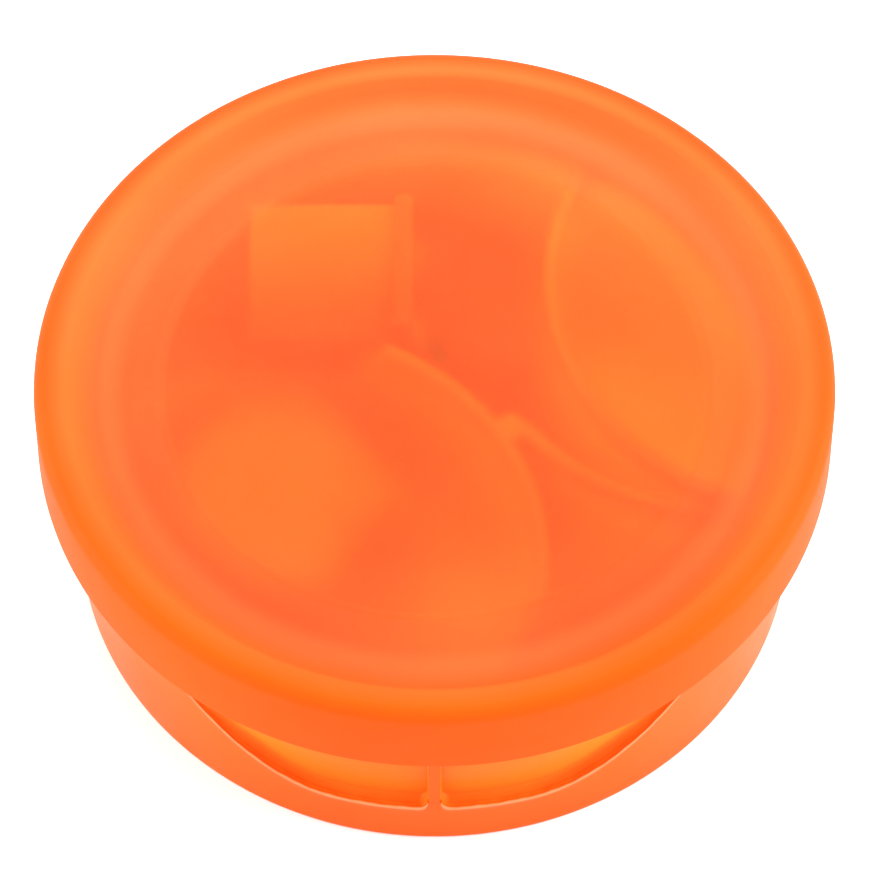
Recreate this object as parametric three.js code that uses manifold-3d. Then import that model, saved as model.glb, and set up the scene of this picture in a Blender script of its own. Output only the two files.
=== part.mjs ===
// Round pocket pill splitter: a frosted moulded tub with a drop-in compartment tray, and a hinged
// lid that carries the cutting blade down into a V-shaped pill seat.
// Millimetres, +Z up. The origin is the centre of the round base, on the surface it rests on.
// The thumb recesses face -Y and the hinge is at +Y.

import * as THREE from 'three';
import { mergeVertices } from 'three/addons/utils/BufferGeometryUtils.js';
import Module from 'manifold-3d';

const wasm = await Module();
wasm.setup();

// ---------- driving dimensions ----------

const RING_SIDES = 72; // facets round each large turned surface
const ROUND_SIDES = 16; // facets round each pin, bore and screw
const GAP = 0.3; // clearance between pieces that rest on each other
const PIN_CLEARANCE = 0.05; // radial running clearance of the hinge pin
const PIN_FIT = 0.02; // radial clearance where the base holds the pin
const OVERCUT = 1; // how far a cutting shape reaches past the face it cuts

// Lid
const LID_RADIUS = 40;
const SKIRT_BOTTOM_Z = 20.4;
const SKIRT_FLARE = 0.3; // how far the skirt spreads towards its bottom edge
const LID_WALL = 1.2;
const RIM_CREST_Z = 29.8;
const PANEL_Z = 27.2; // top face of the flat panel inside the rim bead
const PANEL_RADIUS = 34.8;
const DISC_RADIUS = 27.5; // shallow round recess in the middle of the panel
const DISC_DEPTH = 0.4;
const CEILING_Z = 25.5; // underside of the lid panel
const CEILING_EDGE = 35.4; // radius where the underside turns up into the hollow rim bead

// The rim bead as [radius, z]: its hollow underside from the ceiling outwards, then its round top back in.
const BEAD_UNDERSIDE = [[36.4, 26.2], [37.1, 27.4], [37.8, 28.2], [38.5, 28], [38.8, 27.2]];
const BEAD_TOP = [
  [40, 28.3], [39.7, 29], [39, 29.6], [38, RIM_CREST_Z], [37.1, 29.4], [36.3, 28.6], [35.6, 27.6],
];

// Base
const BASE_RADIUS = 37.4;
const BASE_WALL = 1.3;
const BASE_FLOOR = 1.5;
const BASE_FOOT_ROUND = 0.4;
const BASE_INNER_ROUND = 0.8;
const BASE_TOP_Z = 25.2;
const RECESS_DEPTH = 1.4; // thumb recess, measured in from the outer wall
const RECESS_LIP_Z = 6.7;
const RECESS_HALF_WIDTH = 31;
const RECESS_RIB = 1.3;
const RECESS_TOP_Z = 20.7; // the recess runs out above the skirt's bottom edge
const RECESS_FLAT = 10; // half width of the level part of the lip
const RECESS_SWEEP = 19; // control point of the lip's sweep up to each end
const RECESS_SKIN = { low: 2, high: 24.2, margin: 1.2 }; // inner skin that backs the recess

// Tray
const TRAY_BOTTOM_Z = BASE_FLOOR + GAP;
const TRAY_FLOOR_Z = TRAY_BOTTOM_Z + 1.1;
const TRAY_RADIUS = 34.4;
const TRAY_WALL = 1.2;
const TRAY_FLANGE_RADIUS = BASE_RADIUS - BASE_WALL - GAP;
const TRAY_FLANGE = 1.2;
const FURNITURE_ROOT_Z = TRAY_BOTTOM_Z + 0.5; // dividers, dished floor and pad start inside the tray's floor
const DIVIDER = 1.6; // thickness of the curved dividers
const DIVIDER_TOP_Z = 24.2;
const DIVIDER_SEGMENTS = 28;
const LOW_DIVIDER_Z = 14.6; // top of the front divider where the blade holder passes over it

// Each divider is an arc: centre, radius, and start and end angles in degrees.
const FRONT_DIVIDER = { x: -16.4, y: -18.6, radius: 27, from: -34.5, to: 131.5 };
const MIDDLE_DIVIDER = { x: 29.5, y: 12.4, radius: 25.9, from: 217, to: 275 };
const RIGHT_DIVIDER = { x: 40.2, y: 14.2, radius: 28.3, from: 146, to: 253 };
const DIVIDER_KNOT = { x: 7.6, y: -3.6, radius: 1.7 }; // where the middle divider leaves the front one
const DISH = { x: -13, y: -12, radius: 30, rim: 3 }; // dished floor of the front-left compartment

// Raised pad in the front-left compartment: a disc, cut straight beside the divider, with a round notch.
const PAD = { x: -14, y: -4.4, radius: 11.7, top: 13.8, wall: 1.2 };
const PAD_EDGE = { from: [-13, 7.2], to: [-3.8, -4.2] };
const PAD_NOTCH = { x: 1.5, y: -16.5, radius: 11.8 };

// Cutting station
const CUT_X = -3.8; // plane of the blade
const BLADE_THICKNESS = 0.4;
const BLADE_EDGE_Z = 8.3;
const BLADE_TOP_Z = 22.6;
const BLADE_FRONT_Y = 8.2;
const BLADE_REAR_Y = 24;
const BLADE_BEVEL = 1.8;
const BLADE_EDGE_HALF = 0.03; // half width of the cutting edge
const RAIL = { front: 7.8, rear: 24, bottom: 15, left: CUT_X + 0.4, right: -2.2 };
const RAIL_LIP = { left: CUT_X - 0.1, bottom: BLADE_TOP_Z + 0.4 }; // reaches over the top of the blade
const HOLDER = { left: -19, right: CUT_X - 0.4, front: 8.8, rear: 23, bottom: 15.2 };

// The holder's curved top as [y, z], rising towards the hinge.
const HOLDER_CREST = [[8.8, 21.2], [10.5, 22], [13, 23.1], [16, 24.1], [19, 24.8], [23, CEILING_Z - GAP]];
const HOLDER_PLATE = 1.8;
const HOLDER_CHEEK = 2.2;
const HOLDER_GUSSET = 1.4;
const HOLDER_POST = { radius: 2.2, length: 6, bore: 5.4 };
const SCREW_Z = 18.6;
const SCREW_Y = [11, 20.5];
const SCREW_TIP_X = HOLDER.right - 5;
const SCREW = { radius: 1, point: 0.8, head: 1.9, rim: 0.6, crown: 1.2, bevel: 0.5 };
const SCREW_SLOT = { half: 0.25, depth: 0.5 };
const SCREW_CLEARANCE = { blade: 0.3, rail: 0.15, post: 0.1, head: 0.15 };

const SEAT = { left: -16.4, right: 10.3, front: 9.7, rear: 27, bottom: TRAY_FLOOR_Z + GAP, bed: 9, top: 13 };
const SEAT_NOSE = [[-1, 10.5], [-1, 6.2], [2.5, 3.4], [6, 0.6], [9.6, 2.2], [10.3, 10.5]]; // towards the knot
const SEAT_SLOT = { half: 0.7, bottom: 7.4 };
const V_HALF_WIDTH = 10.44; // half width of the V pocket at the front of the seat
const V_APEX_Y = 25;
const GRIP_THICKNESS = 1.8;
const GRIP_TOP_Z = 14;
const GRIP_START = 3.4; // distances down the arm from the apex
const GRIP_INNER_START = 5.6;
const GRIP_END = 17.4;

// Hinge
const HINGE = { y: 40.8, z: 18.3, barrel: 1.8, pin: 1, half: 11 };
const KNUCKLE_HALF = 6.6;
const ARM = { inner: 39.3, outer: 41, shoulder: 21.6, top: 23.4, taper: 0.8 }; // from barrel to skirt
const LUG_INNER = KNUCKLE_HALF + 0.4;
const LUG_ROOT = { y: 36.6, z: 12.4 }; // inside the base wall
const STOP_BAR = { rear: 43.5, depth: 1, top: 16.4, bottom: 15 };

// Front catch
const CATCH_BEAD = { inner: 38.5, outer: LID_RADIUS - 0.3, low: 21, high: 22, half: 8 };
const CATCH_RIDGE = { inner: BASE_RADIUS - 0.4, outer: 38.2, low: 22.5, high: 23.3, half: 7 };

// ---------- solids ----------

// A manifold from any closed three.js geometry.
function solid(geometry) {
  const bare = geometry.clone();
  bare.deleteAttribute('normal');
  bare.deleteAttribute('uv');
  const merged = mergeVertices(bare, 1e-4);
  const index = merged.index.array;
  const triangles = [];
  for (let i = 0; i < index.length; i += 3) {
    const [a, b, c] = [index[i], index[i + 1], index[i + 2]];
    if (a !== b && b !== c && c !== a) triangles.push(a, b, c);
  }
  return new wasm.Manifold(new wasm.Mesh({
    numProp: 3,
    vertProperties: new Float32Array(merged.attributes.position.array),
    triVerts: new Uint32Array(triangles),
  }));
}

function geometryOf(manifold) {
  const mesh = manifold.getMesh();
  const geometry = new THREE.BufferGeometry();
  geometry.setAttribute('position', new THREE.BufferAttribute(mesh.vertProperties, 3));
  geometry.setIndex(new THREE.BufferAttribute(mesh.triVerts, 1));
  geometry.computeVertexNormals();
  return geometry;
}

// A solid of revolution about Z, from [radius, z] points that run up the outside and back inside.
function turned(profile, sides = RING_SIDES) {
  const points = profile.map(([radius, z]) => new THREE.Vector2(radius, z));
  return solid(new THREE.LatheGeometry(points, sides).rotateX(Math.PI / 2));
}

function block([x0, y0, z0], [x1, y1, z1]) {
  const box = new THREE.BoxGeometry(x1 - x0, y1 - y0, z1 - z0);
  return solid(box.translate((x0 + x1) / 2, (y0 + y1) / 2, (z0 + z1) / 2));
}

// A plan outline (x, y) raised from z0 to z1.
function raised(shape, z0, z1, curveSegments = 24) {
  const options = { depth: z1 - z0, bevelEnabled: false, curveSegments };
  return solid(new THREE.ExtrudeGeometry(shape, options).translate(0, 0, z0));
}

// A side outline (y, z) drawn out along X from x0 to x1.
function alongX(shape, x0, x1, curveSegments = 12) {
  const options = { depth: x1 - x0, bevelEnabled: false, curveSegments };
  const turn = new THREE.Matrix4().set(0, 0, 1, x0, 1, 0, 0, 0, 0, 1, 0, 0, 0, 0, 0, 1);
  return solid(new THREE.ExtrudeGeometry(shape, options).applyMatrix4(turn));
}

// A front outline (x, z) drawn out along Y from y0 to y1.
function alongY(shape, y0, y1, curveSegments = 12) {
  const options = { depth: y1 - y0, bevelEnabled: false, curveSegments };
  const turn = new THREE.Matrix4().set(1, 0, 0, 0, 0, 0, -1, y1, 0, 1, 0, 0, 0, 0, 0, 1);
  return solid(new THREE.ExtrudeGeometry(shape, options).applyMatrix4(turn));
}

function outline(points) {
  return new THREE.Shape(points.map(([a, b]) => new THREE.Vector2(a, b)));
}

function rodAlongX(radius, x0, x1, y, z) {
  const rod = new THREE.CylinderGeometry(radius, radius, x1 - x0, ROUND_SIDES);
  return solid(rod.rotateZ(Math.PI / 2).translate((x0 + x1) / 2, y, z));
}

function upright(radius, z0, z1, x, y, sides = RING_SIDES) {
  const post = new THREE.CylinderGeometry(radius, radius, z1 - z0, sides);
  return solid(post.rotateX(Math.PI / 2).translate(x, y, (z0 + z1) / 2));
}

// A bore's facets stand outside its radius, so that a round pin of that radius clears them.
function boreRadius(radius) {
  return radius / Math.cos(Math.PI / ROUND_SIDES);
}

// ---------- lid ----------

function lidProfile() {
  return [
    [0, CEILING_Z],
    [CEILING_EDGE, CEILING_Z],
    ...BEAD_UNDERSIDE,
    [LID_RADIUS - LID_WALL + SKIRT_FLARE, SKIRT_BOTTOM_Z],
    [LID_RADIUS + SKIRT_FLARE, SKIRT_BOTTOM_Z],
    ...BEAD_TOP,
    [PANEL_RADIUS, PANEL_Z],
    [DISC_RADIUS, PANEL_Z],
    [DISC_RADIUS - 0.2, PANEL_Z - DISC_DEPTH],
    [0, PANEL_Z - DISC_DEPTH],
  ];
}

function knuckle() {
  const arm = outline([
    [ARM.inner, HINGE.z],
    [ARM.outer, HINGE.z],
    [ARM.outer, ARM.shoulder],
    [ARM.outer - ARM.taper, ARM.top],
    [ARM.inner, ARM.top],
  ]);
  return alongX(arm, -KNUCKLE_HALF, KNUCKLE_HALF)
    .add(rodAlongX(HINGE.barrel, -KNUCKLE_HALF, KNUCKLE_HALF, HINGE.y, HINGE.z));
}

// A short ring segment at the front: inner to outer radius, low to high, out to a half width.
function frontArc({ inner, outer, low, high, half }) {
  const ring = turned([[inner, low], [outer, low], [outer, high], [inner, high], [inner, low]]);
  return ring.intersect(block([-half, -outer - OVERCUT, low - OVERCUT], [half, 0, high + OVERCUT]));
}

// The rail that the blade is screwed to, standing down from the ceiling, with its lip over the blade.
function bladeRail() {
  const root = CEILING_Z + 0.4;
  const section = outline([
    [RAIL_LIP.left, root],
    [RAIL_LIP.left, RAIL_LIP.bottom],
    [RAIL.left, RAIL_LIP.bottom],
    [RAIL.left, RAIL.bottom],
    [RAIL.right, RAIL.bottom],
    [RAIL.right, root],
  ]);
  return alongY(section, RAIL.front, RAIL.rear);
}

function lidShell() {
  const bore = boreRadius(HINGE.pin + PIN_CLEARANCE);
  const screwBore = boreRadius(SCREW.radius + SCREW_CLEARANCE.rail);
  let shell = turned(lidProfile())
    .add(knuckle())
    .add(frontArc(CATCH_BEAD))
    .add(bladeRail())
    .subtract(rodAlongX(bore, -KNUCKLE_HALF - OVERCUT, KNUCKLE_HALF + OVERCUT, HINGE.y, HINGE.z));
  for (const y of SCREW_Y) {
    shell = shell.subtract(rodAlongX(screwBore, CUT_X, RAIL.right + OVERCUT, y, SCREW_Z));
  }
  return shell;
}

// ---------- blade assembly, carried by the lid ----------

function blade() {
  const half = BLADE_THICKNESS / 2;
  const hole = boreRadius(SCREW.radius + SCREW_CLEARANCE.blade);
  const section = outline([
    [CUT_X - BLADE_EDGE_HALF, BLADE_EDGE_Z],
    [CUT_X + BLADE_EDGE_HALF, BLADE_EDGE_Z],
    [CUT_X + half, BLADE_EDGE_Z + BLADE_BEVEL],
    [CUT_X + half, BLADE_TOP_Z],
    [CUT_X - half, BLADE_TOP_Z],
    [CUT_X - half, BLADE_EDGE_Z + BLADE_BEVEL],
  ]);
  let strip = alongY(section, BLADE_FRONT_Y, BLADE_REAR_Y);
  for (const y of SCREW_Y) {
    strip = strip.subtract(rodAlongX(hole, CUT_X - OVERCUT, CUT_X + OVERCUT, y, SCREW_Z));
  }
  return strip;
}

// Height of the holder's curved top face at a distance y.
function holderTop(y) {
  const next = HOLDER_CREST.findIndex(([crestY]) => crestY > y);
  const [y0, z0] = HOLDER_CREST[next - 1];
  const [y1, z1] = HOLDER_CREST[next];
  return THREE.MathUtils.mapLinear(y, y0, y1, z0, z1);
}

// A triangular web from the cheek out to the far edge of the top plate.
function holderGusset(y) {
  const { left, right, bottom } = HOLDER;
  const top = holderTop(y);
  const web = outline([
    [right, bottom],
    [right, top],
    [left, top],
    [left, top - HOLDER_PLATE],
    [right - HOLDER_CHEEK, bottom],
  ]);
  return alongY(web, y, y + HOLDER_GUSSET);
}

// A bracket: a top plate under the lid, a cheek against the blade, three gussets and two screw posts.
function bladeHolder() {
  const { left, right, front, rear, bottom } = HOLDER;
  const { radius, length, bore } = HOLDER_POST;
  const screwBore = boreRadius(SCREW.radius + SCREW_CLEARANCE.post);
  const underside = HOLDER_CREST.map(([y, z]) => [y, z - HOLDER_PLATE]).reverse();
  const plate = outline([...HOLDER_CREST, ...underside]);
  const cheek = outline([[front, bottom], ...HOLDER_CREST, [rear, bottom]]);
  let body = alongX(plate, left, right).add(alongX(cheek, right - HOLDER_CHEEK, right));
  for (const y of [front, (front + rear - HOLDER_GUSSET) / 2, rear - HOLDER_GUSSET]) {
    body = body.add(holderGusset(y));
  }
  for (const y of SCREW_Y) {
    body = body.add(rodAlongX(radius, right - length, right, y, SCREW_Z));
  }
  for (const y of SCREW_Y) {
    body = body.subtract(rodAlongX(screwBore, right - bore, right + OVERCUT, y, SCREW_Z));
  }
  return body;
}

// A pan-head screw along X with a straight slot, its head on the outer face of the lid's rail.
function bladeScrew(y) {
  const { radius, point, head, rim, crown, bevel } = SCREW;
  const reach = RAIL.right + SCREW_CLEARANCE.head - SCREW_TIP_X;
  const screw = turned([
    [0, 0],
    [radius / 2, 0],
    [radius, point],
    [radius, reach],
    [head, reach],
    [head, reach + rim],
    [head - bevel, reach + crown - 0.1],
    [0, reach + crown],
  ], ROUND_SIDES);
  const { half, depth } = SCREW_SLOT;
  const top = reach + crown;
  const slot = block([-half, -head - OVERCUT, top - depth], [half, head + OVERCUT, top + OVERCUT]);
  return screw.subtract(slot).rotate([0, 90, 0]).translate([SCREW_TIP_X, y, SCREW_Z]);
}

// ---------- base ----------

function baseProfile() {
  const inner = BASE_RADIUS - BASE_WALL;
  return [
    [0, 0],
    [BASE_RADIUS - BASE_FOOT_ROUND, 0],
    [BASE_RADIUS, BASE_FOOT_ROUND],
    [BASE_RADIUS, BASE_TOP_Z - 0.4],
    [BASE_RADIUS - 0.4, BASE_TOP_Z],
    [inner, BASE_TOP_Z],
    [inner, BASE_FLOOR + BASE_INNER_ROUND],
    [inner - BASE_INNER_ROUND, BASE_FLOOR],
    [0, BASE_FLOOR],
  ];
}

// The recess outline seen from the front: flat lip in the middle, ends sweeping up under the lid.
function recessOutline(inset) {
  const shape = new THREE.Shape();
  const high = RECESS_TOP_Z - inset;
  const half = RECESS_HALF_WIDTH - inset;
  const lip = RECESS_LIP_Z + inset;
  shape.moveTo(half, high);
  shape.lineTo(-half, high);
  shape.quadraticCurveTo(-RECESS_SWEEP, lip, -RECESS_FLAT, lip);
  shape.lineTo(RECESS_FLAT, lip);
  shape.quadraticCurveTo(RECESS_SWEEP, lip, half, high);
  return shape;
}

// The skin between two radii, kept only where an outline covers it at the front.
function frontSkin(inner, outer, shape) {
  const { low, high } = RECESS_SKIN;
  const ring = turned([[inner, low], [outer, low], [outer, high], [inner, high], [inner, low]]);
  return ring.intersect(alongY(shape, -outer - OVERCUT, 0));
}

function hingeBracket() {
  const lug = new THREE.Shape();
  lug.moveTo(LUG_ROOT.y, LUG_ROOT.z);
  lug.lineTo(STOP_BAR.rear, STOP_BAR.bottom);
  lug.lineTo(STOP_BAR.rear, STOP_BAR.top);
  lug.absarc(HINGE.y, HINGE.z, HINGE.barrel, -0.3, Math.PI / 2, false);
  lug.lineTo(LUG_ROOT.y, HINGE.z + HINGE.barrel);
  const left = alongX(lug, -HINGE.half, -LUG_INNER);
  const right = alongX(lug, LUG_INNER, HINGE.half);
  const bar = block(
    [-LUG_INNER - 1, STOP_BAR.rear - STOP_BAR.depth, STOP_BAR.bottom],
    [LUG_INNER + 1, STOP_BAR.rear, STOP_BAR.top],
  );
  return left.add(right).add(bar);
}

function baseShell() {
  const inner = BASE_RADIUS - BASE_WALL - RECESS_DEPTH;
  const backing = frontSkin(inner, BASE_RADIUS - 0.5, recessOutline(-RECESS_SKIN.margin));
  const recess = frontSkin(BASE_RADIUS - RECESS_DEPTH, BASE_RADIUS + 1, recessOutline(0));
  const rib = block([-RECESS_RIB / 2, -BASE_RADIUS - 2, 0], [RECESS_RIB / 2, 0, BASE_TOP_Z]);
  const reach = HINGE.half + OVERCUT;
  return turned(baseProfile())
    .add(backing)
    .subtract(recess.subtract(rib))
    .add(frontArc(CATCH_RIDGE))
    .add(hingeBracket())
    .subtract(rodAlongX(boreRadius(HINGE.pin + PIN_FIT), -reach, reach, HINGE.y, HINGE.z));
}

// A turned steel pin with broken corners, held in the two lugs.
function hingePin() {
  const length = HINGE.half * 2 - 0.4;
  const { pin } = HINGE;
  return turned([
    [0, 0],
    [pin - 0.25, 0],
    [pin, 0.25],
    [pin, length - 0.25],
    [pin - 0.25, length],
    [0, length],
  ], ROUND_SIDES).rotate([0, 90, 0]).translate([-length / 2, HINGE.y, HINGE.z]);
}

// ---------- compartment tray ----------

function trayProfile() {
  const inner = TRAY_RADIUS - TRAY_WALL;
  return [
    [0, TRAY_BOTTOM_Z],
    [TRAY_RADIUS - 1, TRAY_BOTTOM_Z],
    [TRAY_RADIUS, TRAY_BOTTOM_Z + 1],
    [TRAY_RADIUS, BASE_TOP_Z - TRAY_FLANGE],
    [TRAY_FLANGE_RADIUS, BASE_TOP_Z - TRAY_FLANGE],
    [TRAY_FLANGE_RADIUS, BASE_TOP_Z],
    [inner, BASE_TOP_Z],
    [inner, TRAY_FLOOR_Z],
    [0, TRAY_FLOOR_Z],
  ];
}

function dividerWall({ x, y, radius, from, to }) {
  const start = THREE.MathUtils.degToRad(from);
  const end = THREE.MathUtils.degToRad(to);
  const shape = new THREE.Shape();
  shape.absarc(x, y, radius + DIVIDER / 2, start, end, false);
  shape.absarc(x, y, radius - DIVIDER / 2, end, start, true);
  return raised(shape, FURNITURE_ROOT_Z, DIVIDER_TOP_Z, DIVIDER_SEGMENTS);
}

// The front divider drops away to the left, so that the blade holder passes over it.
function frontDivider() {
  const relief = outline([
    [-4.8, BASE_TOP_Z + 1],
    [-5, BASE_TOP_Z],
    [-9.2, LOW_DIVIDER_Z],
    [-LID_RADIUS, LOW_DIVIDER_Z],
    [-LID_RADIUS, BASE_TOP_Z + 1],
  ]);
  return dividerWall(FRONT_DIVIDER).subtract(alongY(relief, -5, 20));
}

// The scooped floor that lets pills slide out of the front-left compartment.
function dishedFloor() {
  const { x, y, radius } = FRONT_DIVIDER;
  const scoop = new THREE.SphereGeometry(DISH.radius, 36, 24);
  scoop.rotateX(Math.PI / 2).translate(DISH.x, DISH.y, TRAY_FLOOR_Z + 0.2 + DISH.radius);
  return upright(radius, FURNITURE_ROOT_Z, TRAY_FLOOR_Z + DISH.rim, x, y).subtract(solid(scoop));
}

// The pad drawn in by an inset on every side, from z0 to z1.
function padSolid(inset, z0, z1) {
  const { from, to } = PAD_EDGE;
  const edge = new THREE.Vector2(to[0] - from[0], to[1] - from[1]).normalize();
  const distance = edge.x * from[1] - edge.y * from[0];
  return upright(PAD.radius - inset, z0, z1, PAD.x, PAD.y)
    .subtract(upright(PAD_NOTCH.radius + inset, z0 - OVERCUT, z1 + OVERCUT, PAD_NOTCH.x, PAD_NOTCH.y))
    .trimByPlane([edge.y, -edge.x, 0], inset - distance);
}

function compartmentTray() {
  const inside = upright(TRAY_RADIUS - 0.4, 0, BASE_TOP_Z, 0, 0);
  const { x, y, radius } = DIVIDER_KNOT;
  const knot = upright(radius, FURNITURE_ROOT_Z, DIVIDER_TOP_Z, x, y, ROUND_SIDES);
  const furniture = frontDivider()
    .add(dividerWall(MIDDLE_DIVIDER))
    .add(dividerWall(RIGHT_DIVIDER))
    .add(knot)
    .add(dishedFloor())
    .add(padSolid(0, FURNITURE_ROOT_Z, PAD.top))
    .intersect(inside);
  const padHollow = padSolid(PAD.wall, TRAY_BOTTOM_Z - OVERCUT, PAD.top - PAD.wall);
  return turned(trayProfile()).add(furniture).subtract(padHollow);
}

// ---------- pill seat ----------

function pillSeat() {
  const { left, right, front, rear, bottom, bed, top } = SEAT;
  const body = block([left, front, bottom], [right, rear, top]).add(raised(outline(SEAT_NOSE), bottom, bed));
  const pocket = outline([
    [CUT_X, V_APEX_Y],
    [CUT_X - V_HALF_WIDTH, front],
    [CUT_X - V_HALF_WIDTH, front - OVERCUT],
    [CUT_X + V_HALF_WIDTH, front - OVERCUT],
    [CUT_X + V_HALF_WIDTH, front],
  ]);
  const slot = block(
    [CUT_X - SEAT_SLOT.half, front - OVERCUT, SEAT_SLOT.bottom],
    [CUT_X + SEAT_SLOT.half, rear + OVERCUT, top + OVERCUT],
  );
  return body.subtract(raised(pocket, bed, top + OVERCUT)).subtract(slot);
}

// A soft strip lining one arm of the V; side is -1 on the left and 1 on the right.
function pillGrip(side) {
  const arm = new THREE.Vector2(V_HALF_WIDTH, SEAT.front - V_APEX_Y).normalize();
  const inward = new THREE.Vector2(arm.y, -arm.x);
  const apex = new THREE.Vector2(0, V_APEX_Y);
  const at = (along, across) => apex.clone().addScaledVector(arm, along).addScaledVector(inward, across);
  const face = GAP + GRIP_THICKNESS;
  const points = [at(GRIP_START, GAP), at(GRIP_END, GAP), at(GRIP_END, face), at(GRIP_INNER_START, face)];
  const strip = outline(points.map((point) => [CUT_X + side * point.x, point.y]));
  return raised(strip, SEAT.bed + GAP, GRIP_TOP_Z);
}

// ---------- assembly ----------

const FROSTED = { color: 0xff6d24, roughness: 0.45, metalness: 0 };
const INNER = { color: 0xff7a30, roughness: 0.4, metalness: 0 };
const SOFT = { color: 0xe63d0f, roughness: 0.8, metalness: 0 };
const STEEL = { color: 0xc9ccd0, roughness: 0.25, metalness: 1 };

function piece(name, manifold, look) {
  const mesh = new THREE.Mesh(geometryOf(manifold), new THREE.MeshStandardMaterial(look));
  mesh.name = name;
  return mesh;
}

const baseGroup = new THREE.Group();
baseGroup.add(
  piece('base_shell', baseShell(), FROSTED),
  piece('compartment_tray', compartmentTray(), INNER),
  piece('pill_seat', pillSeat(), INNER),
  piece('pill_grip_left', pillGrip(-1), SOFT),
  piece('pill_grip_right', pillGrip(1), SOFT),
  piece('hinge_pin', hingePin(), STEEL),
);

const lidGroup = new THREE.Group();
lidGroup.add(
  piece('lid_shell', lidShell(), FROSTED),
  piece('blade', blade(), STEEL),
  piece('blade_holder', bladeHolder(), INNER),
  piece('blade_screw_front', bladeScrew(SCREW_Y[0]), STEEL),
  piece('blade_screw_rear', bladeScrew(SCREW_Y[1]), STEEL),
);

const pillSplitter = new THREE.Group();
pillSplitter.add(baseGroup, lidGroup);

export default pillSplitter;
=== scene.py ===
"""Round frosted pill splitter: shells, tray, cutting station and hinge on the fixed CAD frame."""

import math

import bmesh
import bpy
import numpy as np
from mathutils import Matrix, Vector


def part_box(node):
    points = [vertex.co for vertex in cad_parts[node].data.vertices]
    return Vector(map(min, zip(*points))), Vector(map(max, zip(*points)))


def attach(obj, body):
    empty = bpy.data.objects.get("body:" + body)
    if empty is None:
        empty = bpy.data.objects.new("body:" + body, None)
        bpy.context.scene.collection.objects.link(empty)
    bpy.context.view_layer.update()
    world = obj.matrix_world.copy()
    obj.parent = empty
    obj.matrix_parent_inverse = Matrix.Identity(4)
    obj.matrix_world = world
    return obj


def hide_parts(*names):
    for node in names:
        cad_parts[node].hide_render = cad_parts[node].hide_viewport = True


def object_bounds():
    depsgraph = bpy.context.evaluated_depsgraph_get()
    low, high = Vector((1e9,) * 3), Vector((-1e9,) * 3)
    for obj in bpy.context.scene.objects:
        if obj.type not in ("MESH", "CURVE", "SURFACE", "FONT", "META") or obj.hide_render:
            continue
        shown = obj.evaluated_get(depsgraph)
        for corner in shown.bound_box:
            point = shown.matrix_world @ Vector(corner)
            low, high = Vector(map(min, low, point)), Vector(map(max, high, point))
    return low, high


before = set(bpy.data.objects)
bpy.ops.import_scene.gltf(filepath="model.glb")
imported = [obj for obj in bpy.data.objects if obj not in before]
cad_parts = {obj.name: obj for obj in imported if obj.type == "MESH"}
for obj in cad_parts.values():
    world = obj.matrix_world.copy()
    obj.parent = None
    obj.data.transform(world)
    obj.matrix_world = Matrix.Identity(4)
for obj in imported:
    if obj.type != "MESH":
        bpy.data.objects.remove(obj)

CAD_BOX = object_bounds()
MM = 0.001


def node_box(node):
    """Lowest and highest corner of a CAD node, in millimetres."""
    low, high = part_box(node)
    return low / MM, high / MM


# ---------- dimensions, in millimetres; the outer ones come from the frame ----------

LID_LOW, LID_HIGH = node_box("lid_shell")
BASE_HIGH = node_box("base_shell")[1]
TRAY_LOW, TRAY_HIGH = node_box("compartment_tray")
SEAT_LOW, SEAT_HIGH = node_box("pill_seat")
GRIP_LOW, GRIP_HIGH = node_box("pill_grip_right")
BLADE_LOW, BLADE_HIGH = node_box("blade")
HOLDER_LOW, HOLDER_HIGH = node_box("blade_holder")
PIN_LOW, PIN_HIGH = node_box("hinge_pin")

SIDES = 240  # segments round each large turned surface

FLARE = 0.3  # how much wider the skirt is at its bottom edge
RIM_R = LID_HIGH.x - FLARE
CREST_Z = LID_HIGH.z
PANEL_Z = CREST_Z - 2.6
CEILING_Z = PANEL_Z - 1.7
SKIRT_Z = CREST_Z - 9.4
SKIRT_WALL = 1.2
GUTTER_R, GUTTER_Z = 37.3, 28.3  # underside of the lid below its rim bead
PANEL_R = RIM_R - 5.0
DISC_R = RIM_R - 12.5
DISC_DEPTH = 0.4

BASE_R = BASE_HIGH.x
BASE_TOP = BASE_HIGH.z
BASE_WALL = 1.3
BASE_FLOOR = 1.5
BASE_INNER_R = BASE_R - BASE_WALL
BASE_FOOT_ROUND = 0.4
BASE_RIM_ROUND = 0.5
BASE_INNER_ROUND = 0.8
RECESS_DEPTH = 1.4
RECESS_TOP = SKIRT_Z + 0.3
RECESS_LIP = 6.7  # height of the recess lip beside the rib
RECESS_HALF = 31.0  # where the recess ends on each side of the middle
RECESS_FADE = 14.0  # the last stretch, in which the recess grows shallow
LIP_END_Z = RECESS_TOP - 0.6
LIP_BEAD = 0.2  # how far the trimmed edge of the lip stands proud
RIB_HALF = 0.65
CATCH_BEAD_R, CATCH_BEAD_Z = 38.5, 21.5  # inside the skirt's front
CATCH_RIDGE_R, CATCH_RIDGE_Z = 38.2, 22.9  # outside the base's front
LID_MARKS_R, LID_MARK_ANGLES = 18.0, (-150, -95, -35, 30)  # ejector marks under the panel
BASE_MARKS_R, BASE_MARK_ANGLES = 22.0, (45, 135, 225, 315)  # and on the base's floor

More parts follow.
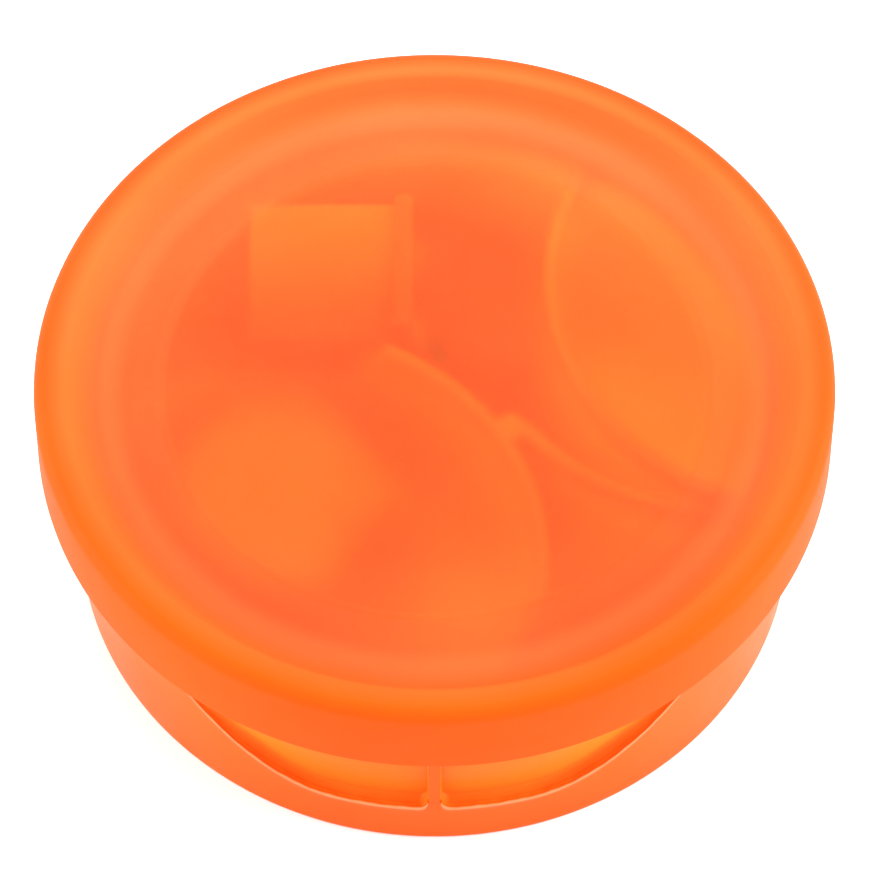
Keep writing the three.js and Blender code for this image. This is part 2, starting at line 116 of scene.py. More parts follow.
TRAY_R = TRAY_HIGH.x - 1.4
TRAY_INNER = TRAY_R - 1.2
TRAY_FLOOR = TRAY_LOW.z + 1.1
TRAY_ROOT = TRAY_LOW.z + 0.5  # where the dividers start inside the tray's floor
DIVIDER = 1.6
DIVIDER_TOP = 24.2
DIVIDER_FOOT = 0.5  # flare of a divider where it meets the floor
LOW_WALL_Z = 14.6  # top of the front divider's left part, which clears the blade holder
FRONT_DIVIDER = (-16.4, -18.6, 27.0, -34.5, 131.5)  # centre x and y, radius, first and last angle
MIDDLE_DIVIDER = (29.5, 12.4, 25.9, 217, 275)
RIGHT_DIVIDER = (40.2, 14.2, 28.3, 146, 253)
KNOT = (7.6, -3.6, 1.7)  # where the middle divider leaves the front one
DISH = (-13.0, -12.0, 30.0, 3.0)  # centre x and y, radius of the ball, height at the rim
PAD = (-14.0, -4.4, 11.7)
PAD_TOP = 13.8
PAD_WALL = 1.2
PAD_EDGE = (Vector((-13.0, 7.2)), Vector((-3.8, -4.2)))  # two points on the pad's straight side
PAD_NOTCH = (1.5, -16.5, 11.8)

CUT_X = (BLADE_LOW.x + BLADE_HIGH.x) / 2
SCREW_BOXES = [node_box("blade_screw_front"), node_box("blade_screw_rear")]
SCREWS = [((low.y + high.y) / 2, (low.z + high.z) / 2) for low, high in SCREW_BOXES]
SCREW_SIDES = 32
RAIL_RIGHT = -2.2
RAIL_LIP_X = HOLDER_HIGH.x + 0.06
RAIL_FRONT, RAIL_REAR = 7.8, 24.0
RAIL_Z = LID_LOW.z
HOLDER_CURVE_Y = [8.8, 10.5, 13.0, 16.0, 19.0, 23.0]
HOLDER_CURVE_Z = [21.2, 22.0, 23.1, 24.1, 24.8, HOLDER_HIGH.z]
SEAT_FRONT = 9.7
SEAT_BED = SEAT_HIGH.z - 4
SEAT_NOSE = [(-1, 9.8), (-1, 6.2), (2.5, 3.4), (6, 0.6), (9.6, 2.2), (SEAT_HIGH.x, 9.8)]
V_HALF_WIDTH = 10.44
V_APEX_Y = SEAT_HIGH.y - 2
GRIP_GAP, GRIP_THICKNESS = 0.3, 1.8
GRIP_START, GRIP_RIBS_START, GRIP_END = 3.4, 5.6, 17.4  # along each arm, from the apex of the V
GRIP_RIBS, GRIP_RIB_DEPTH = 20, 0.14

HINGE_Y = (PIN_LOW.y + PIN_HIGH.y) / 2
HINGE_Z = (PIN_LOW.z + PIN_HIGH.z) / 2
PIN_R = (PIN_HIGH.z - PIN_LOW.z) / 2
BARREL_R = 1.8
KNUCKLE_HALF = 6.6
KNUCKLE_ROOT_Y, KNUCKLE_REAR_Y, KNUCKLE_TOP = 39.3, 41.0, 23.4
LUG_INNER, LUG_OUTER = 7.0, 11.0
LUG_ROOT_Y, LUG_LOW = 36.2, 12.4
BAR_REAR = BASE_HIGH.y
BAR_LOW, BAR_HIGH = 15.0, 16.4  # the bar between the lugs that stops the open lid


# ---------- looks: linear colours, and reaches in millimetres ----------

# painted light: the tray is painted darker on the left and lighter on the right, and painted shade
# darkens its upper parts
TRAY_LEFT_PAINTED, TRAY_RIGHT_PAINTED, TRAY_LIGHT_REACH = (1.0, 0.29, 0.06), (1.0, 0.72, 0.22), (-10, 20)
TRAY_TOP_SHADE, TRAY_TOP_SHADE_REACH = (1.0, 0.21, 0.06), (21.0, 23.5)
LID_LIGHT_REACH = (-RIM_R, RIM_R)  # painted light: the lid's colours run from a shaded front to a lit rear
# painted light and shade: each lid zone has a front colour and a rear colour, mostly darker at the front
# and lighter towards the hinge
PANEL_FRONT_PAINTED, PANEL_REAR_PAINTED = (1.0, 0.33, 0.09), (1.0, 0.53, 0.16)
DISC_FRONT_PAINTED, DISC_REAR_PAINTED = (1.0, 0.42, 0.12), (1.0, 0.54, 0.15)
BEAD_FRONT_PAINTED, BEAD_REAR_PAINTED = (1.0, 0.096, 0.012), (1.0, 0.155, 0.03)
SKIRT_FRONT_PAINTED, SKIRT_REAR_PAINTED = (1.0, 0.086, 0.002), (1.0, 0.078, 0.010)
STEP_REACH = (DISC_R - 0.7, DISC_R + 0.2)  # from the disc to the ring round it
DISC_EDGE_REACH = (DISC_R - 9, DISC_R)
DENSE_REACH = (PANEL_R - 5.2, PANEL_R + 0.6)  # from the panel's dyes to the bead's
MILKY_REACH = (PANEL_R - 4.5, PANEL_R + 2.5)  # from clear to milky
OUTER_REACH = (PANEL_R + 1.2, PANEL_R + 4.2)  # from the bead to the skirt
DISC_CLEAR, EDGE_CLEAR, RING_CLEAR, SKIRT_CLEAR = 0.945, 0.93, 0.90, 0.2
LID_ROUGHNESS, LID_IOR, LID_SHEEN = 0.75, 1.14, 0.12
# painted light: the recess face and the inside are painted lighter than the outer wall, and lighter
# still towards the recess ends, where shade falls under the skirt
BASE_DYE, BASE_INNER_PAINTED = (1.0, 0.105, 0.003), (1.0, 0.165, 0.012)
RECESS_END_PAINTED, RECESS_END_LIGHT_REACH = (1.0, 0.235, 0.025), (-37, -29)
LIP_HIGHLIGHT = (1.0, 0.28, 0.10)  # painted highlight along the trimmed edge of the lip
OUTER_SKIN = (BASE_R - 0.2, BASE_R - 0.02)
PROUD_EDGE = (BASE_R + 0.04, BASE_R + 0.14)
FRONT_ONLY = (-5, 5)
BASE_ROUGHNESS, BASE_CLEAR, BASE_IOR, BASE_SHEEN = 0.32, 0.2, 1.1, 0.15
STATION_SHADE_REACH = (8, 20)  # the rail's and holder's painted shade runs from a dark front to a lighter rear
# painted shade: the rail is painted darker than the holder so that it does not show bright against the
# lid
RAIL_PAINTED_SHADES = (1.0, 0.045, 0.01), (1.0, 0.09, 0.018)
HOLDER_PAINTED_SHADES = (1.0, 0.07, 0.01), (1.0, 0.18, 0.03)
# the seat's deep red is painted darker to stand in for the shadow in the channel under the blade holder
SEAT_SHADOW_DYE = (0.72, 0.045, 0.004)
GRIP_COLOR = (0.60, 0.045, 0.008)
# painted shade: the fittings' steel is painted dark so that the screw heads under the lid stay dim
BLADE_COLOR, FITTING_COLOR = (0.80, 0.81, 0.83), (0.34, 0.33, 0.33)
FLOOR_TONES = (0.93, 0.93, 0.93), (0.96, 0.96, 0.96)

# noise scales, in cells per metre
DYE_CLOUDS, GLOSS_PATCHES, MOULD_WAVES, SPARK_GRAIN = 55, 240, 90, 5200
SCRATCHES, RUBBER_CLOUDS, RUBBER_GRAIN, FLOOR_CLOUDS = 900, 160, 3800, 6
WAVE_HEIGHT, GRAIN_HEIGHT = 0.03, 0.01  # millimetres


# ---------- mesh building ----------

def add_mesh(name, verts, faces, smooth=35):
    """An object from vertices in millimetres; edges sharper than smooth degrees stay crisp."""
    mesh = bpy.data.meshes.new(name)
    mesh.from_pydata([tuple(c * MM for c in v) for v in verts], [], faces)
    mesh.validate()
    obj = bpy.data.objects.new(name, mesh)
    bpy.context.scene.collection.objects.link(obj)
    finish_mesh(obj, smooth)
    return obj


def finish_mesh(obj, smooth=35):
    """Turns the faces outwards and shades them smooth, apart from edges sharper than smooth degrees."""
    bm = bmesh.new()
    bm.from_mesh(obj.data)
    bmesh.ops.recalc_face_normals(bm, faces=bm.faces)
    bm.to_mesh(obj.data)
    bm.free()
    obj.data.polygons.foreach_set("use_smooth", [True] * len(obj.data.polygons))
    obj.data.set_sharp_from_angle(angle=math.radians(smooth))


def fillet(points, steps=6):
    """A polyline with rounded corners. Each point is (a, b) or (a, b, radius)."""
    out = []
    for i, point in enumerate(points):
        if len(point) == 2 or i in (0, len(points) - 1):
            out.append((point[0], point[1]))
            continue
        here = Vector(point[:2])
        back = Vector(points[i - 1][:2]) - here
        ahead = Vector(points[i + 1][:2]) - here
        half = back.angle(ahead) / 2
        reach = min(point[2] / math.tan(half), back.length * 0.49, ahead.length * 0.49)
        radius = reach * math.tan(half)
        centre = here + (back.normalized() + ahead.normalized()).normalized() * radius / math.sin(half)
        first = here + back.normalized() * reach - centre
        last = here + ahead.normalized() * reach - centre
        turn = first.angle_signed(last)
        for k in range(steps + 1):
            spoke = first.copy()
            spoke.rotate(Matrix.Rotation(-turn * k / steps, 2))
            out.append(tuple(centre + spoke))
    return out


def rows_to_solid(name, rows, closed_profile, smooth=35):
    """Skins a grid of points: rows follow the profile, columns close into a ring."""
    rows = np.asarray(rows)
    count, columns = rows.shape[:2]
    verts = [tuple(p) for p in rows.reshape(-1, 3)]
    faces = []
    spans = range(count) if closed_profile else range(count - 1)
    for i in spans:
        j = (i + 1) % count
        for c in range(columns):
            d = (c + 1) % columns
            faces.append((i * columns + c, i * columns + d, j * columns + d, j * columns + c))
    if not closed_profile:
        faces.append(tuple(range(columns)))
        faces.append(tuple((count - 1) * columns + c for c in range(columns)))
    return add_mesh(name, verts, faces, smooth)


def ring(radius, z, sides):
    """Points evenly round the Z axis."""
    angles = np.linspace(0, 2 * math.pi, sides, endpoint=False)
    return [(radius * math.cos(t), radius * math.sin(t), z) for t in angles]


def turned(name, profile, sides=SIDES):
    """A solid of revolution about Z. A profile that starts and ends at radius 0 is capped there."""
    on_axis = abs(profile[0][0]) < 1e-6
    kept = [p for p in profile if p[0] > 1e-6]
    rows = [ring(r, z, sides) for r, z in kept]
    return rows_to_solid(name, rows, not on_axis)


def prism(name, outline, low, high, axis="z", smooth=35):
    """An outline drawn out along an axis: (x, y) along z, (y, z) along x or (x, z) along y."""
    corner = {
        "z": lambda a, b, t: (a, b, t),
        "x": lambda a, b, t: (t, a, b),
        "y": lambda a, b, t: (a, t, b),
    }[axis]
    n = len(outline)
    verts = [corner(a, b, low) for a, b in outline] + [corner(a, b, high) for a, b in outline]
    faces = [tuple(range(n)), tuple(range(2 * n - 1, n - 1, -1))]
    faces += [(i, (i + 1) % n, n + (i + 1) % n, n + i) for i in range(n)]
    return add_mesh(name, verts, faces, smooth)


def block(name, low, high):
    """A box between two corners."""
    (x0, y0, z0), (x1, y1, z1) = low, high
    return prism(name, [(x0, y0), (x1, y0), (x1, y1), (x0, y1)], z0, z1)


def circle(radius, a=0.0, b=0.0, count=48):
    """A full circle about (a, b)."""
    return [(a + radius * math.cos(t), b + radius * math.sin(t))
            for t in np.linspace(0, 2 * math.pi, count, endpoint=False)]


def arc(radius, a, b, start, end, count=12):
    """Part of a circle about (a, b), between two angles in degrees."""
    return [(a + radius * math.cos(math.radians(t)), b + radius * math.sin(math.radians(t)))
            for t in np.linspace(start, end, count)]


def polar(radius, degrees):
    """Points on a circle about the middle, at angles in degrees."""
    return [(radius * math.cos(t), radius * math.sin(t)) for t in np.radians(degrees)]


def apply_modifiers(obj):
    """Makes the result of the object's modifiers its own mesh."""
    bpy.context.view_layer.update()
    graph = bpy.context.evaluated_depsgraph_get()
    made = bpy.data.meshes.new_from_object(obj.evaluated_get(graph))
    old = obj.data
    obj.modifiers.clear()
    obj.data = made
    made.name = obj.name
    bpy.data.meshes.remove(old)


def boolean(target, tool, operation):
    """Applies one boolean and removes the tool."""
    modifier = target.modifiers.new("cut", "BOOLEAN")
    modifier.operation = operation
    modifier.object = tool
    modifier.solver = "MANIFOLD"
    apply_modifiers(target)
    bpy.data.objects.remove(tool)
    return target


def join(target, *tools):
    """Adds solids to the target."""
    for tool in tools:
        boolean(target, tool, "UNION")
    return target


def cut(target, *tools):
    """Takes solids away from the target."""
    for tool in tools:
        boolean(target, tool, "DIFFERENCE")
    return target


def soften(obj, width, segments=3):
    """Rounds every sharp edge by a small bevel, applied to the mesh."""
    modifier = obj.modifiers.new("soften", "BEVEL")
    modifier.width = width * MM
    modifier.segments = segments
    modifier.limit_method = "ANGLE"
    modifier.angle_limit = math.radians(40)
    modifier.use_clamp_overlap = True
    modifier.harden_normals = False
    apply_modifiers(obj)
    finish_mesh(obj, 50)
    return obj


# ---------- lid ----------

def lid_profile():
    """Half the lid's section: out along the underside, down the skirt, back over the bead and panel."""
    inner = RIM_R - SKIRT_WALL
    return fillet([
        (0, CEILING_Z),
        (PANEL_R + 0.3, CEILING_Z, 1.0),
        (GUTTER_R, GUTTER_Z, 0.9),
        (inner - 0.2, GUTTER_Z, 0.8),
        (inner + FLARE, SKIRT_Z, 0.25),
        (RIM_R + FLARE, SKIRT_Z, 0.35),
        (RIM_R, CREST_Z, 1.7),
        (PANEL_R + 1.9, CREST_Z, 1.3),
        (PANEL_R + 0.2, PANEL_Z, 2.4),
        (DISC_R + 0.6, PANEL_Z, 1.2),
        (DISC_R - 0.5, PANEL_Z - DISC_DEPTH, 1.2),
        (0, PANEL_Z - DISC_DEPTH),
    ], steps=8)


def knuckle():
    """The barrel that turns on the pin, and the arm that joins it to the skirt."""
    arm = fillet([
        (KNUCKLE_ROOT_Y, HINGE_Z),
        (KNUCKLE_REAR_Y, HINGE_Z),
        (KNUCKLE_REAR_Y, KNUCKLE_TOP - 1.8, 0.6),
        (KNUCKLE_REAR_Y - 0.8, KNUCKLE_TOP, 0.4),
        (KNUCKLE_ROOT_Y, KNUCKLE_TOP),
    ])
    return join(
        prism("arm", arm, -KNUCKLE_HALF, KNUCKLE_HALF, "x"),
        prism("barrel", circle(BARREL_R, HINGE_Y, HINGE_Z), -KNUCKLE_HALF, KNUCKLE_HALF, "x"),
    )


def front_arc(name, inner, outer, z, half_height, half_width):
    """A short rounded bead on a front wall, between two radii."""
    span = math.degrees(math.asin(half_width / outer))
    angles = np.radians(np.linspace(-90 - span, -90 + span, 40))
    nose = arc(half_height, 0, 0, -90, 90, 9)
    section = [(inner, z - half_height)] + [(outer - half_height + a, z + b) for a, b in nose]
    section += [(inner, z + half_height)]
    rows = [[(r * math.cos(t), r * math.sin(t), h) for r, h in section] for t in angles]
    return rows_to_solid(name, rows, False)


def ejector_marks(target, spots, z, radius, height):
    """Shallow round witness marks that ejector pins leave on a hidden moulded face."""
    for x, y in spots:
        disc = prism("mark", circle(radius, x, y, 40), z - height, z + height)
        join(target, disc)
    return target


def lid_shell():
    """The turned lid with its hinge knuckle, catch bead and ejector marks."""
    shell = turned("lid", lid_profile())
    bead = front_arc("catch_bead", CATCH_BEAD_R, RIM_R - 0.3, CATCH_BEAD_Z, 0.45, 8)
    join(shell, knuckle(), bead)
    ejector_marks(shell, polar(LID_MARKS_R, LID_MARK_ANGLES), CEILING_Z, 2.0, 0.12)
    cut(shell, prism("pin_bore", circle(PIN_R + 0.05, HINGE_Y, HINGE_Z, 32), -8, 8, "x"))
    finish_mesh(shell, 32)
    return shell


def blade_rail():
    """The thick rail that stands down from the panel beside the blade, with a lip over the blade."""
    face, lip = CUT_X + 0.4, BLADE_HIGH.z + 0.4
    outline = fillet([
        (RAIL_LIP_X, CEILING_Z - 0.02), (RAIL_LIP_X, lip, 0.1), (face, lip, 0.15), (face, RAIL_Z, 0.25),
        (RAIL_RIGHT, RAIL_Z, 0.4), (RAIL_RIGHT, CEILING_Z - 0.02),
    ])
    rail = prism("rail", outline, RAIL_FRONT, RAIL_REAR, "y")
    for y, z in SCREWS:
        cut(rail, prism("screw_bore", circle(1.15, y, z, 32), CUT_X, RAIL_RIGHT + 1, "x"))
    finish_mesh(rail, 32)
    return rail


# ---------- blade assembly ----------

def blade():
    """A ground strip: two bevels down to the edge, square ends and two fixing holes."""
    half = (BLADE_HIGH.x - BLADE_LOW.x) / 2
    low, high = BLADE_LOW.z, BLADE_HIGH.z
    section = [
        (CUT_X - 0.02, low), (CUT_X + 0.02, low), (CUT_X + half * 0.7, low + 1.0),
        (CUT_X + half, low + 2.2), (CUT_X + half, high), (CUT_X - half, high),
        (CUT_X - half, low + 2.2), (CUT_X - half * 0.7, low + 1.0),
    ]
    strip = prism("blade_steel", section, BLADE_LOW.y, BLADE_HIGH.y, "y", 12)
    for y, z in SCREWS:
        cut(strip, prism("hole", circle(1.35, y, z, 40), CUT_X - 1, CUT_X + 1, "x"))
    for y in (BLADE_LOW.y, BLADE_HIGH.y):
        cut(strip, prism("notch", circle(1.1, y, high - 3.2, 40), CUT_X - 1, CUT_X + 1, "x"))
    finish_mesh(strip, 12)
    return strip


def holder_top(y):
    """Height of the holder's top plate, which curves down towards the front."""
    return float(np.interp(y, HOLDER_CURVE_Y, HOLDER_CURVE_Z))


def blade_holder():
    """A curved top plate on a cheek beside the blade, with three gussets and two screw posts."""
    left, right = HOLDER_LOW.x, HOLDER_HIGH.x
    front, rear = HOLDER_LOW.y, HOLDER_HIGH.y
    bottom = HOLDER_LOW.z
    plate, cheek, gusset = 1.8, 2.2, 1.4
    crest = [(y, holder_top(y)) for y in np.linspace(front, rear, 24)]
    slab = crest + [(y, z - plate) for y, z in reversed(crest)]
    side = [(front, bottom)] + [(y, z) for y, z in crest] + [(rear, bottom)]
    body = join(prism("holder", slab, left, right, "x"), prism("cheek", side, right - cheek, right, "x"))
    for y in (front, (front + rear - gusset) / 2, rear - gusset):
        top = holder_top(y)
        web = [(right, bottom), (right, top), (left, top), (left, top - plate), (right - cheek, bottom)]
        join(body, prism("gusset", web, y, y + gusset, "y"))
    for y, z in SCREWS:
        join(body, prism("post", circle(2.2, y, z, 48), right - 6, right, "x"))
    for y, z in SCREWS:
        cut(body, prism("bore", circle(1.1, y, z, 32), right - 5.4, right + 1, "x"))
    return soften(body, 0.3)


def threaded_profile_rows(radius, depth, pitch, start, end, sides, steps):
    """Rings of a screw thread: the radius follows a triangle wave that climbs one pitch a turn."""
    rows = []
    for z in np.linspace(start, end, steps):
        turn = []
        fade = min(1.0, (z - start) / pitch, (end - z) / (pitch * 0.5))
        for k in range(sides):
            t = 2 * math.pi * k / sides
            phase = (z / pitch - k / sides) % 1.0
            r = radius - depth * max(fade, 0) * abs(2 * phase - 1)
            turn.append((r * math.cos(t), r * math.sin(t), z))
        rows.append(turn)
    return rows


def blade_screw(name, box):
    """A pan-head thread-forming screw along X, with a cross recess."""
    low, high = box
    reach = high.x - low.x - 1.2
    brim = reach + 0.55
    head = (high.z - low.z) / 2
    rows = [ring(0.35, 0.0, SCREW_SIDES)]
    rows += threaded_profile_rows(1.0, 0.22, 0.7, 0.5, reach - 0.2, SCREW_SIDES, 90)
    crown = [(head - 0.1, reach), (head, reach + 0.1), (head, brim)]
    crown += [(head * math.cos(t), brim + 0.63 * math.sin(t)) for t in np.linspace(0.2, 1.45, 8)]
    rows += [ring(r, z, SCREW_SIDES) for r, z in crown]
    screw = rows_to_solid(name, rows, False)
    for half_x, half_y in ((0.24, 1.15), (1.15, 0.24)):
        cut(screw, block("recess", (-half_x, -half_y, brim), (half_x, half_y, reach + 2)))
    middle = (low + high) / 2
    shift = Matrix.Translation(Vector((low.x, middle.y, middle.z)) * MM)
    screw.data.transform(shift @ Matrix.Rotation(math.pi / 2, 4, "Y"))
    finish_mesh(screw, 40)
    return screw


# ---------- base ----------

def recess_curve():
    """x and z along one half of the recess lip, from the rib to where it runs out under the lid."""
    ends = np.array([(10.0, RECESS_LIP), (19.0, RECESS_LIP), (RECESS_HALF, RECESS_TOP)])
    t = np.linspace(0, 1, 60)[:, None]
    return (1 - t) ** 2 * ends[0] + 2 * t * (1 - t) * ends[1] + t ** 2 * ends[2]


LIP_CURVE = recess_curve()


def smooth_step(x, low, high):
    """0 below low, 1 above high, with an eased run between."""
    t = np.clip((x - low) / (high - low), 0, 1)
    return t * t * (3 - 2 * t)


def lip_height(x):
    """Height of the recess lip at a distance x from the middle, with a round corner beside the rib."""
    x = abs(x)
    corner = 0.9
    z = float(np.interp(x, LIP_CURVE[:, 0], LIP_CURVE[:, 1]))
    s = x - RIB_HALF - 0.1
    if s < corner:
        z += corner - math.sqrt(max(0.0, corner ** 2 - (corner - max(s, 0.0)) ** 2))
    return min(z, LIP_END_Z)


def recess_share(x):
    """1 inside the recess, 0 on the rib and beyond its ends."""
    x = abs(x)
    beside_rib = smooth_step(x, RIB_HALF - 0.12, RIB_HALF + 0.12)
    return float(beside_rib * (1 - smooth_step(x, RECESS_HALF - RECESS_FADE, RECESS_HALF)))


def base_angles():
    """Column angles, close together across the recess and closest beside the rib."""
    front = list(np.arange(-60, -3, 0.4)) + list(np.arange(-3, 3, 0.08)) + list(np.arange(3, 60, 0.4))
    rest = list(np.arange(60, 300, 1.25))
    return np.radians(np.array(front + rest) - 90)


def lip_wave(x):
    """The slight unevenness of the lip's trimmed edge."""
    return 0.05 * math.sin(x * 1.7 + 0.6) + 0.035 * math.sin(x * 4.3 + 2.0)


def lip_outline(lip, share, wave):
    """The recess lip: a trimmed edge that stands a little proud, then a ledge in to the recess face."""
    bead = LIP_BEAD * share
    deep = RECESS_DEPTH * share
    edge = lip + wave
    return [
        (BASE_R + bead * 0.1, lip - 0.75),
        (BASE_R + bead * 0.6, lip - 0.45),
        (BASE_R + bead, lip - 0.22),
        (BASE_R + bead * 0.9, edge + 0.02),
        (BASE_R - 0.1 * share, edge + 0.14),
        (BASE_R - 0.28 * share, lip + wave * 0.7 + 0.10),
        (BASE_R - 0.42 * share, lip + 0.02 + wave * 0.3),
        (BASE_R - 0.55 * share, lip - 0.02 + 0.03 * (1 - share)),
        (BASE_R - deep * 0.65, lip + 0.02),
        (BASE_R - deep * 0.85, lip + 0.07),
        (BASE_R - deep * 0.96, lip + 0.18),
        (BASE_R - deep, lip + 0.38),
    ]


def outer_wall(lip, share, wave):
    """The base's outer side: foot, wall up to the lip, recess face, and the plain band under the lid."""
    deep = RECESS_DEPTH * share
    foot = BASE_FOOT_ROUND
    round_rim = BASE_RIM_ROUND
    turn = np.linspace(0, math.pi / 2, 7)
    points = [(BASE_R - foot + foot * math.sin(t), foot - foot * math.cos(t)) for t in turn]
    points += [(BASE_R, z) for z in np.linspace(foot + 0.4, lip - 1.3, 10)]
    points += lip_outline(lip, share, wave)
    points += [(BASE_R - deep, z) for z in np.linspace(lip + 0.42, RECESS_TOP - 0.12, 14)]
    points += [(BASE_R - deep * 0.5, RECESS_TOP), (BASE_R, RECESS_TOP + 0.12)]
    points += [(BASE_R, z) for z in np.linspace(RECESS_TOP + 0.5, BASE_TOP - 0.5, 4)]
    for t in np.linspace(0.3, math.pi / 2, 5):
        points.append((
            BASE_R - round_rim + round_rim * math.cos(t),
            BASE_TOP - round_rim + round_rim * math.sin(t),
        ))
    return points


def inner_wall(lip, backing):
    """The base's inner side, swelled inwards behind the recess so that the wall keeps its thickness."""
    shoulder = RECESS_TOP + 1.9
    swell = [0.0, 0.0, 0.6, 1.0, 1.0, 1.0, 1.0, 0.6, 0.0]
    heights = [BASE_TOP - 1.0, shoulder, RECESS_TOP + 1.5, RECESS_TOP + 1.1, 17]
    heights += [lip + 1, lip - 1.0, lip - 1.5, lip - 2.0]
    heights.sort(reverse=True)
    corner = BASE_INNER_ROUND
    points = [(BASE_INNER_R + 0.15, BASE_TOP), (BASE_INNER_R, BASE_TOP - 0.15)]
    points += [(BASE_INNER_R - backing * part, min(z, shoulder)) for part, z in zip(swell, heights)]
    for t in np.linspace(0, math.pi / 2, 6):
        points.append((
            BASE_INNER_R - corner + corner * math.cos(t),
            BASE_FLOOR + corner - corner * math.sin(t),
        ))
    return points


def base_column(angle):
    """The outline of the base wall at one angle, from the foot to the middle of the floor."""
    x = BASE_R * math.cos(angle)
    share, lip, backing = 0.0, LIP_END_Z, 0.0
    if math.sin(angle) < 0:
        share = recess_share(x)
        lip = lip_height(x)
        backing = RECESS_DEPTH * (share if abs(x) > 2 else 1.0)
    points = outer_wall(lip, share, lip_wave(x) * share) + inner_wall(lip, backing)
    points += [(BASE_INNER_R * part, BASE_FLOOR) for part in (0.9, 0.6, 0.3, 0.05)]
    return points


def hinge_bracket():
    """Two lugs that hold the pin, joined behind by the bar that stops the open lid."""
    lug = [
        (LUG_ROOT_Y, LUG_LOW),
        (BAR_REAR - 0.3, BAR_LOW),
        (BAR_REAR, BAR_LOW + 0.25),
        (BAR_REAR, BAR_HIGH - 0.2),
        (BAR_REAR - 0.2, BAR_HIGH + 0.05),
    ]
    lug += arc(BARREL_R, HINGE_Y, HINGE_Z, -8, 90, 16)
    lug += [(LUG_ROOT_Y, HINGE_Z + BARREL_R)]
    bar = fillet([
        (BAR_REAR - 1, BAR_LOW, 0.1),
        (BAR_REAR, BAR_LOW, 0.25),
        (BAR_REAR, BAR_HIGH, 0.25),
        (BAR_REAR - 1, BAR_HIGH, 0.25),
    ])
    left = prism("lug_left", lug, -LUG_OUTER, -LUG_INNER, "x")
    right = prism("lug_right", lug, LUG_INNER, LUG_OUTER, "x")
    return join(left, right, prism("stop_bar", bar, -LUG_INNER - 1, LUG_INNER + 1, "x"))


def base_shell():
    """The tub, skinned from its columns, with the hinge bracket, catch ridge and ejector marks."""
    angles = base_angles()
    columns = [base_column(a) for a in angles]
    rows = [[(r * math.cos(a), r * math.sin(a), z) for (r, z), a in zip(level, angles)]
            for level in zip(*columns)]
    shell = rows_to_solid("base", rows, False, 50)
    ridge = front_arc("catch_ridge", BASE_R - 0.4, CATCH_RIDGE_R, CATCH_RIDGE_Z, 0.4, 7)
    join(shell, soften(hinge_bracket(), 0.25), ridge)
    ejector_marks(shell, polar(BASE_MARKS_R, BASE_MARK_ANGLES), BASE_FLOOR, 2.4, 0.1)
    cut(shell, prism("pin_bore", circle(PIN_R + 0.02, HINGE_Y, HINGE_Z, 32), -12, 12, "x"))
    finish_mesh(shell, 40)
    return shell


def hinge_pin():
    """A plain steel pin with rounded ends, along X."""
    length = PIN_HIGH.x - PIN_LOW.x
    profile = fillet([(0, 0), (PIN_R, 0, 0.3), (PIN_R, length, 0.3), (0, length)])
    pin = turned("pin", profile, 40)
    shift = Matrix.Translation(Vector((PIN_LOW.x, HINGE_Y, HINGE_Z)) * MM)
    pin.data.transform(shift @ Matrix.Rotation(math.pi / 2, 4, "Y"))
    return pin


# ---------- compartment tray ----------

def tray_profile():
    """Half the tray's section, with a rim that reaches over to the base's wall."""
    return fillet([
        (0, TRAY_LOW.z),
        (TRAY_R, TRAY_LOW.z, 1.0),
        (TRAY_R, BASE_TOP - 1.2),
        (TRAY_HIGH.x, BASE_TOP - 1.2, 0.2),
        (TRAY_HIGH.x, BASE_TOP, 0.35),
        (TRAY_INNER, BASE_TOP, 0.45),
        (TRAY_INNER - 0.25, TRAY_FLOOR, 1.4),
        (0, TRAY_FLOOR),
    ])


def divider_section():
    """Across a divider: a flared foot, straight sides and a rounded crown."""
    half = DIVIDER / 2
    crown_height = DIVIDER * 0.45
    top = DIVIDER_TOP - crown_height
    foot = DIVIDER_FOOT
    right = [(half + foot, TRAY_ROOT)]
    for t in np.linspace(0, math.pi / 2, 6):
        right.append((half + foot * (1 - math.sin(t)), TRAY_FLOOR + foot * (1 - math.cos(t))))
    crown = [(half * math.cos(t), top + crown_height * math.sin(t)) for t in np.linspace(0, math.pi, 11)]
    return right + crown + [(-across, z) for across, z in reversed(right)]


def divider(name, spec):
    """A curved wall, its section swept along an arc."""
    x, y, radius, start, end = spec
    rows = []
    for t in np.radians(np.linspace(start, end, 120)):
        along = (math.cos(t), math.sin(t))
        rows.append([(x + (radius + across) * along[0], y + (radius + across) * along[1], z)
                     for across, z in divider_section()])
    return rows_to_solid(name, rows, False)


def front_divider():
    """The front divider, with its left part lowered by a ramp under the blade holder."""
    wall = divider("front_divider", FRONT_DIVIDER)
    above = BASE_TOP + 2
    relief = fillet([
        (-4.2, above),
        (-4.6, DIVIDER_TOP - 0.4, 1.5),
        (-9.2, LOW_WALL_Z, 2.5),
        (-45, LOW_WALL_Z),
        (-45, above),
    ], 8)
    return cut(wall, prism("relief", relief, -5, 20, "y"))


def dished_floor():
    """The scooped filling of the front-left compartment."""
    x, y, radius = FRONT_DIVIDER[:3]
    ball_x, ball_y, ball, rim = DISH
    filling = prism("filling", circle(radius, x, y, 120), TRAY_ROOT, TRAY_FLOOR + rim)
    bottom = TRAY_FLOOR + 0.2
    last_angle = 1.2
    above = bottom + 40
    scoop = [(0, bottom)]
    for t in np.linspace(0.02, last_angle, 40):
        scoop.append((ball * math.sin(t), bottom + ball * (1 - math.cos(t))))
    scoop += [(ball * math.sin(last_angle), above), (0, above)]
    bowl = turned("bowl", scoop, 128)
    bowl.data.transform(Matrix.Translation(Vector((ball_x, ball_y, 0)) * MM))
    return cut(filling, bowl)


